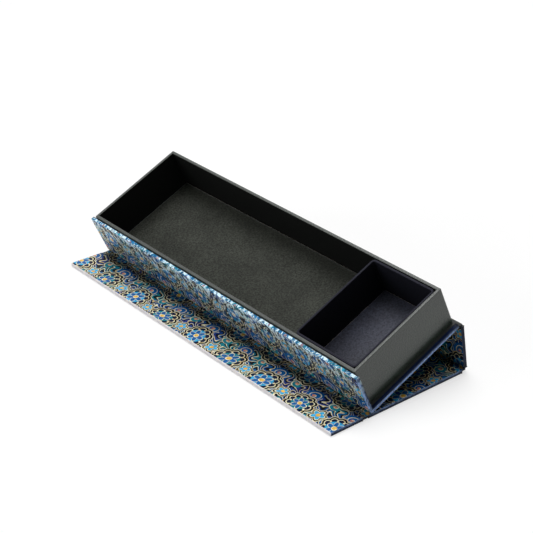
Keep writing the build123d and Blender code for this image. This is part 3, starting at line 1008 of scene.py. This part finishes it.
def ring(name, section, low, high, profile, worn_and_lit, corner, steps, plate=False):
    """A closed profile of (depth, height) carried round a box with rounded corners, as a wall.

    A plate's profile is its edge, and the plate is closed above and below.
    """
    length, width = high[0] - low[0], high[1] - low[1]
    centre_x, centre_u = (low[0] + high[0]) / 2, (low[1] + high[1]) / 2
    verts = []
    for depth, height in profile:
        radius = max(corner - depth, LEAST_FOLD)
        for quarter, (to_x, to_u) in enumerate(((1, 1), (-1, 1), (-1, -1), (1, -1))):
            x = centre_x + to_x * (length / 2 - depth - radius)
            u = centre_u + to_u * (width / 2 - depth - radius)
            for k in range(steps + 1):
                a = math.pi / 2 * (quarter + k / steps)
                verts.append(section.place(x + radius * math.cos(a), u + radius * math.sin(a), height))
    total, count = len(profile), 4 * (steps + 1)
    faces, smooth = [], []
    for i in range(total - 1 if plate else total):
        n = (i + 1) % total
        for j in range(count):
            k = (j + 1) % count
            faces.append((i * count + j, i * count + k, n * count + k, n * count + j))
            smooth.append(j % (steps + 1) != steps or worn_and_lit[i] > 0 and worn_and_lit[n] > 0)
    if plate:
        faces += [tuple(reversed(range(count))), tuple(range((total - 1) * count, total * count))]
        smooth += [False, False]
    piece = finished(name, verts, faces, smooth)
    # 1 where the rims are worn and given a painted highlight
    layer = piece.data.attributes.new(WORN_AND_LIT, "FLOAT", "POINT")
    layer.data.foreach_set("value", [w for w in worn_and_lit for _ in range(count)])
    return piece


def rim_profile(wall, bottom, top, foot, skin, fold_out, fold_in, steps):
    """Paper over a wall: up the outside, over the rim, down the inside, and back along its own inner face.

    Beside it goes the wear and painted highlight of each point, most on the two folds.
    """
    points = [
        (0, bottom),
        *((depth, top - drop) for depth, drop in quarter_turn(fold_out, steps)),
        *((wall - drop, top - depth) for depth, drop in quarter_turn(fold_in, steps)),
        (wall, foot),
        (wall - skin, foot),
        (wall - skin, top - skin),
        (skin, top - skin),
        (skin, bottom),
    ]
    return points, [0.0, 0.6] + [1.0] * (2 * steps) + [0.3] + [0.0] * 5


class CASE_OT_tray(bpy.types.Operator):
    """Black paper round the tray's walls, and the card on its floor"""

    bl_idname = "case.tray"
    bl_label = "Tray papers"

    def execute(self, context):
        sizes = context.scene.case_sizes
        made = material_set()
        tray = sections["tray"]
        steps = sizes.fold_steps
        low, high = tray.box("tray_wrap_paper")
        lining_low, lining_high = tray.box("tray_wall_lining")
        skin = high[2] - lining_high[2]
        wall = lining_low[0] - low[0] + skin
        foot = high[2] - skin * 1.02  # a trace past the lining's edge, so that no gap shows
        profile, worn_and_lit = rim_profile(wall, low[2], high[2], foot, skin, sizes.rim_fold, skin, steps)
        wrap = ring("tray_wrap", tray, low, high, profile, worn_and_lit, sizes.tray_corner, steps)
        dress(wrap, [made["wrap"]], "tray", "black_paper", "tray_wrap_paper")

        low, high = tray.box("tray_floor_pad")
        soft = sizes.card_edge
        edge = [(depth, high[2] - drop) for depth, drop in quarter_turn(soft, steps)]
        # The wear and painted highlight end within 0.9 mm of the card's edge.
        profile = [(0, low[2]), *edge, (0.5 * MM, high[2]), (0.9 * MM, high[2])]
        worn_and_lit = [0.2] + [1.0] * len(edge) + [0.5, 0.0]
        pad = ring("tray_floor_card", tray, low, high, profile, worn_and_lit, sizes.tray_corner, steps, plate=True)
        dress(pad, [made["pad"]], "tray", "black_paper", "tray_floor_pad")
        return {"FINISHED"}


def round_rectangle_tree():
    """Geometry Nodes: a closed profile carried round a rectangle with rounded corners."""
    tree = bpy.data.node_groups.new("Profile round a rectangle", "GeometryNodeTree")
    sockets = (("Profile", "Geometry"), ("Length", "Float"), ("Width", "Float"), ("Corner", "Float"),
               ("Steps", "Int"), ("Finish", "Material"))
    for name, kind in sockets:
        tree.interface.new_socket(name, in_out="INPUT", socket_type=f"NodeSocket{kind}")
    tree.interface.new_socket("Wall", in_out="OUTPUT", socket_type="NodeSocketGeometry")
    given = add(tree, "NodeGroupInput").outputs
    path = add(tree, "GeometryNodeCurvePrimitiveQuadrilateral",
               inputs={"Width": given["Length"], "Height": given["Width"]})
    rounded = add(tree, "GeometryNodeFilletCurve", {"mode": "POLY"},
                  {"Curve": path.outputs[0], "Radius": given["Corner"], "Count": given["Steps"]})
    upright = add(tree, "GeometryNodeSetCurveNormal", {"mode": "Z_UP"}, {"Curve": rounded.outputs[0]})
    profile = add(tree, "GeometryNodeMeshToCurve", inputs={"Mesh": given["Profile"]})
    wall = add(tree, "GeometryNodeCurveToMesh",
               inputs={"Curve": upright.outputs[0], "Profile Curve": profile.outputs[0]})
    # Flats stay flat, and only the folds and corners are shaded smooth.
    normal = add(tree, "GeometryNodeInputNormal").outputs[0]
    facing = add(tree, "ShaderNodeVectorMath", {"operation": "ABSOLUTE"}, {0: normal})
    sides = add(tree, "ShaderNodeSeparateXYZ", inputs={0: facing.outputs[0]})
    known = {"x": sides.outputs[0], "y": sides.outputs[1], "z": sides.outputs[2]}
    work(tree, known, [*greatest("most", "x", "y", "z"), ("curved", "LESS_THAN", "most", 0.9999)])
    smooth = add(tree, "GeometryNodeSetShadeSmooth", {"domain": "FACE"},
                 {"Geometry": wall.outputs[0], "Shade Smooth": known["curved"]})
    real = add(tree, "GeometryNodeRealizeInstances", inputs={0: smooth.outputs[0]})
    dressed = add(tree, "GeometryNodeSetMaterial",
                  inputs={"Geometry": real.outputs[0], "Material": given["Finish"]})
    add(tree, "NodeGroupOutput", inputs={0: dressed.outputs[0]})
    return tree


def round_rectangle(name, section, low, high, profile, worn_and_lit, corner, steps, finish):
    """A wall made by round_rectangle_tree round a box, as a plain mesh in its section."""
    mesh = bpy.data.meshes.new(name)
    count = len(profile)
    points = [(-depth, -height, 0) for depth, height in reversed(profile)]
    mesh.from_pydata(points, [(i, (i + 1) % count) for i in range(count)], [])
    # 1 where the rims are worn and given a painted highlight
    mesh.attributes.new(WORN_AND_LIT, "FLOAT", "POINT").data.foreach_set("value", worn_and_lit[::-1])
    piece = bpy.data.objects.new(name, mesh)
    bpy.context.scene.collection.objects.link(piece)
    modifier = piece.modifiers.new("wall", "NODES")
    modifier.node_group = round_rectangle_tree()
    values = {"Length": high[0] - low[0], "Width": high[1] - low[1], "Corner": corner, "Steps": steps,
              "Finish": finish}
    for socket in modifier.node_group.interface.items_tree:
        if socket.name in values:
            modifier[socket.identifier] = values[socket.name]
    applied(piece, modifier)
    for vertex in piece.data.vertices:
        x, u, v = vertex.co
        vertex.co = section.place((low[0] + high[0]) / 2 + x, (low[1] + high[1]) / 2 + u, v)
    return piece


class CASE_OT_insert(bpy.types.Operator):
    """Paper round the loose insert, and the lining on its floor"""

    bl_idname = "case.insert"
    bl_label = "Insert papers"

    def execute(self, context):
        sizes = context.scene.case_sizes
        made = material_set()
        tray = sections["tray"]
        steps = sizes.fold_steps
        fold = sizes.rim_fold
        low, high = tray.box("insert_wrap_paper")
        card_high = tray.box("insert_walls")[1]
        floor_low, floor_high = tray.box("insert_floor_lining")
        skin = high[2] - card_high[2]
        wall = floor_low[0] - low[0]
        profile, worn_and_lit = rim_profile(wall, low[2], high[2], floor_low[2], skin, fold, fold, steps)
        corner, finish = sizes.insert_corner, made["insert"]
        wrap = round_rectangle("insert_wrap", tray, low, high, profile, worn_and_lit, corner, 2 * steps, finish)
        dress(wrap, [made["insert"]], "insert", "insert_paper", "insert_wrap_paper")

        top = floor_high[2]
        soft = sizes.floor_edge
        gap = 0.25 * MM  # between the lining and the walls
        bevel = 0.3 * soft
        # Each row has the depth from the walls, the height and the wear with its painted highlight.
        rows = (
            (gap, floor_low[2], 0.2),
            (gap, top - soft, 0.8),
            (gap + bevel, top - bevel, 1.0),
            (gap + soft, top, 1.0),
            (gap + 0.4 * MM, top, 0.4),
            (gap + 0.7 * MM, top, 0.0),
        )
        profile, worn_and_lit = [row[:2] for row in rows], [row[2] for row in rows]
        low, high = floor_low, floor_high
        floor = ring("insert_floor", tray, low, high, profile, worn_and_lit, corner - wall, 2 * steps, plate=True)
        dress(floor, [made["insert_floor"]], "insert", "insert_paper", "insert_floor_lining")
        return {"FINISHED"}


class CASE_OT_inner_parts(bpy.types.Operator):
    """Materials for the boards, linings and magnets that keep their CAD shapes"""

    bl_idname = "case.inner_parts"
    bl_label = "Boards, linings and magnets"

    def execute(self, context):
        made = material_set()
        for name, node in frame["nodes"].items():
            if "magnet" in name:
                material = made["magnet"]
            elif name.endswith("_board") or name == "insert_walls":
                material = made["board"]
            elif name in ("base_lining", "spine_lining", "lid_lining", "flap_lining"):
                material = made["cover_lining"]
            else:
                material = made["lining"]
            node.data.materials.clear()
            node.data.materials.append(material)
        return {"FINISHED"}


def seen_directly(tree):
    """1 for rays from the camera, and for mirrored and refracted ones."""
    path = add(tree, "ShaderNodeLightPath")
    rays = ("Is Camera Ray", "Is Glossy Ray", "Is Transmission Ray")
    known = {name: path.outputs[name] for name in rays}
    work(tree, known, greatest("seen", *rays))
    return known["seen"]


WHITE = (1.0, 1.0, 1.0, 1.0)
FLOOR_HALF = 4.0  # metres
FLOOR_SEEN = 0.4  # grey of the floor for the camera, and the rest up to white is its own light
DOME_LEVEL = 5.5  # light of the tent at its top
DOME_FALL = 20.0  # power by which it falls off away from the top
SOFTBOXES = (
    # name, strength, width in degrees, the way to it
    ("overhead_softbox", 1.5, 40, (-0.32, 0.12, 0.94)),
    ("front_softbox", 1.5, 35, (-0.3, -0.93, 0.2)),
)

# The camera, as fitted to the photograph, in millimetres and degrees
LENS, SENSOR = 97.91, 36
AZIMUTH, ELEVATION, ROLL = 50.028, 27.616, 0.478
DISTANCE = 830.809
TARGET = (-13.534, 18.094, 20.0)


class CASE_OT_stage(bpy.types.Operator):
    """Pale floor, soft studio light and the camera"""

    bl_idname = "case.stage"
    bl_label = "Stage"

    def execute(self, context):
        scene = context.scene
        corners = [(x * FLOOR_HALF, y * FLOOR_HALF, 0) for x, y in ((-1, -1), (1, -1), (1, 1), (-1, 1))]
        floor = finished("studio_floor", corners, [(0, 1, 2, 3)], [False])
        # The camera and mirrors see a white sweep of paper. It throws pale grey light on the case.
        material, tree = empty_material("matt_white_paper_sweep")
        known = {"seen": seen_directly(tree)}
        work(tree, known, [("glow", "MULTIPLY", "seen", 1 - FLOOR_SEEN)])
        colour = layered(tree, known, rgba(linear("#C0C0C0")), [("seen", [FLOOR_SEEN] * 3)])
        shade(tree, {"Base Color": colour, "Roughness": 1.0, "Specular IOR Level": 0.0,
                     "Emission Color": WHITE, "Emission Strength": known["glow"]})
        floor.data.materials.append(material)

        # A white tent all round, which throws light mostly from overhead
        world = bpy.data.worlds.new("studio")
        world.use_nodes = True
        tree = world.node_tree
        tree.nodes.clear()
        way = add(tree, "ShaderNodeTexCoord").outputs["Generated"]
        split = add(tree, "ShaderNodeSeparateXYZ", inputs={0: way})
        height = add(tree, "ShaderNodeMath", {"operation": "POWER", "use_clamp": True},
                     {0: split.outputs[2], 1: DOME_FALL})
        known = {"height": height.outputs[0]}
        work(tree, known, [("level", "MULTIPLY", "height", DOME_LEVEL)])
        dome = add(tree, "ShaderNodeBackground", inputs={"Color": WHITE, "Strength": known["level"]})
        white = add(tree, "ShaderNodeBackground", inputs={"Color": WHITE, "Strength": 1.0})
        mixed = add(tree, "ShaderNodeMixShader",
                    inputs={0: seen_directly(tree), 1: dome.outputs[0], 2: white.outputs[0]})
        add(tree, "ShaderNodeOutputWorld", inputs={"Surface": mixed.outputs[0]})
        scene.world = world

        for name, strength, width, way in SOFTBOXES:
            lamp = bpy.data.lights.new(name, "SUN")
            lamp.energy = strength
            lamp.angle = math.radians(width)
            light = bpy.data.objects.new(name, lamp)
            light.rotation_euler = Vector(way).to_track_quat("Z", "Y").to_euler()
            scene.collection.objects.link(light)

        camera = bpy.data.cameras.new("camera")
        camera.lens = LENS
        camera.sensor_width = SENSOR
        camera.clip_start, camera.clip_end = 0.05, 20
        azimuth, elevation = math.radians(AZIMUTH), math.radians(ELEVATION)
        level_back = Vector((math.sin(azimuth), -math.cos(azimuth), 0))
        back = level_back * math.cos(elevation) + Vector((0, 0, math.sin(elevation)))
        eye = bpy.data.objects.new("camera", camera)
        eye.location = (Vector(TARGET) + back * DISTANCE) * MM
        eye.rotation_mode = "QUATERNION"
        eye.rotation_quaternion = back.to_track_quat("Z", "Y") @ Quaternion((0, 0, 1), math.radians(ROLL))
        scene.collection.objects.link(eye)
        scene.camera = eye
        scene.view_settings.view_transform = "Standard"
        return {"FINISHED"}


OPERATORS = (
    CASE_OT_inner_parts,
    CASE_OT_cover,
    CASE_OT_creases,
    CASE_OT_tray,
    CASE_OT_insert,
    CASE_OT_stage,
)


class CASE_PT_panel(bpy.types.Panel):
    """Builds the pencil case piece by piece"""

    bl_label = "Pencil case"
    bl_idname = "CASE_PT_panel"
    bl_space_type = "VIEW_3D"
    bl_region_type = "UI"
    bl_category = "Pencil case"

    def draw(self, context):
        for operator in OPERATORS:
            self.layout.operator(operator.bl_idname)
        for group in (context.scene.case_sizes, context.scene.case_colours):
            for name in group.__annotations__:
                self.layout.prop(group, name)


CLASSES = (CaseSizes, CaseColours, *OPERATORS, CASE_PT_panel)


def register():
    for made in CLASSES:
        bpy.utils.register_class(made)
    bpy.types.Scene.case_sizes = PointerProperty(type=CaseSizes)
    bpy.types.Scene.case_colours = PointerProperty(type=CaseColours)


def unregister():
    del bpy.types.Scene.case_colours
    del bpy.types.Scene.case_sizes
    for made in reversed(CLASSES):
        bpy.utils.unregister_class(made)


def main():
    """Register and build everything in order."""
    register()
    for operator in OPERATORS:
        group, name = operator.bl_idname.split(".")
        getattr(getattr(bpy.ops, group), name)()
    bpy.context.view_layer.update()


if __name__ == "__main__":
    main()
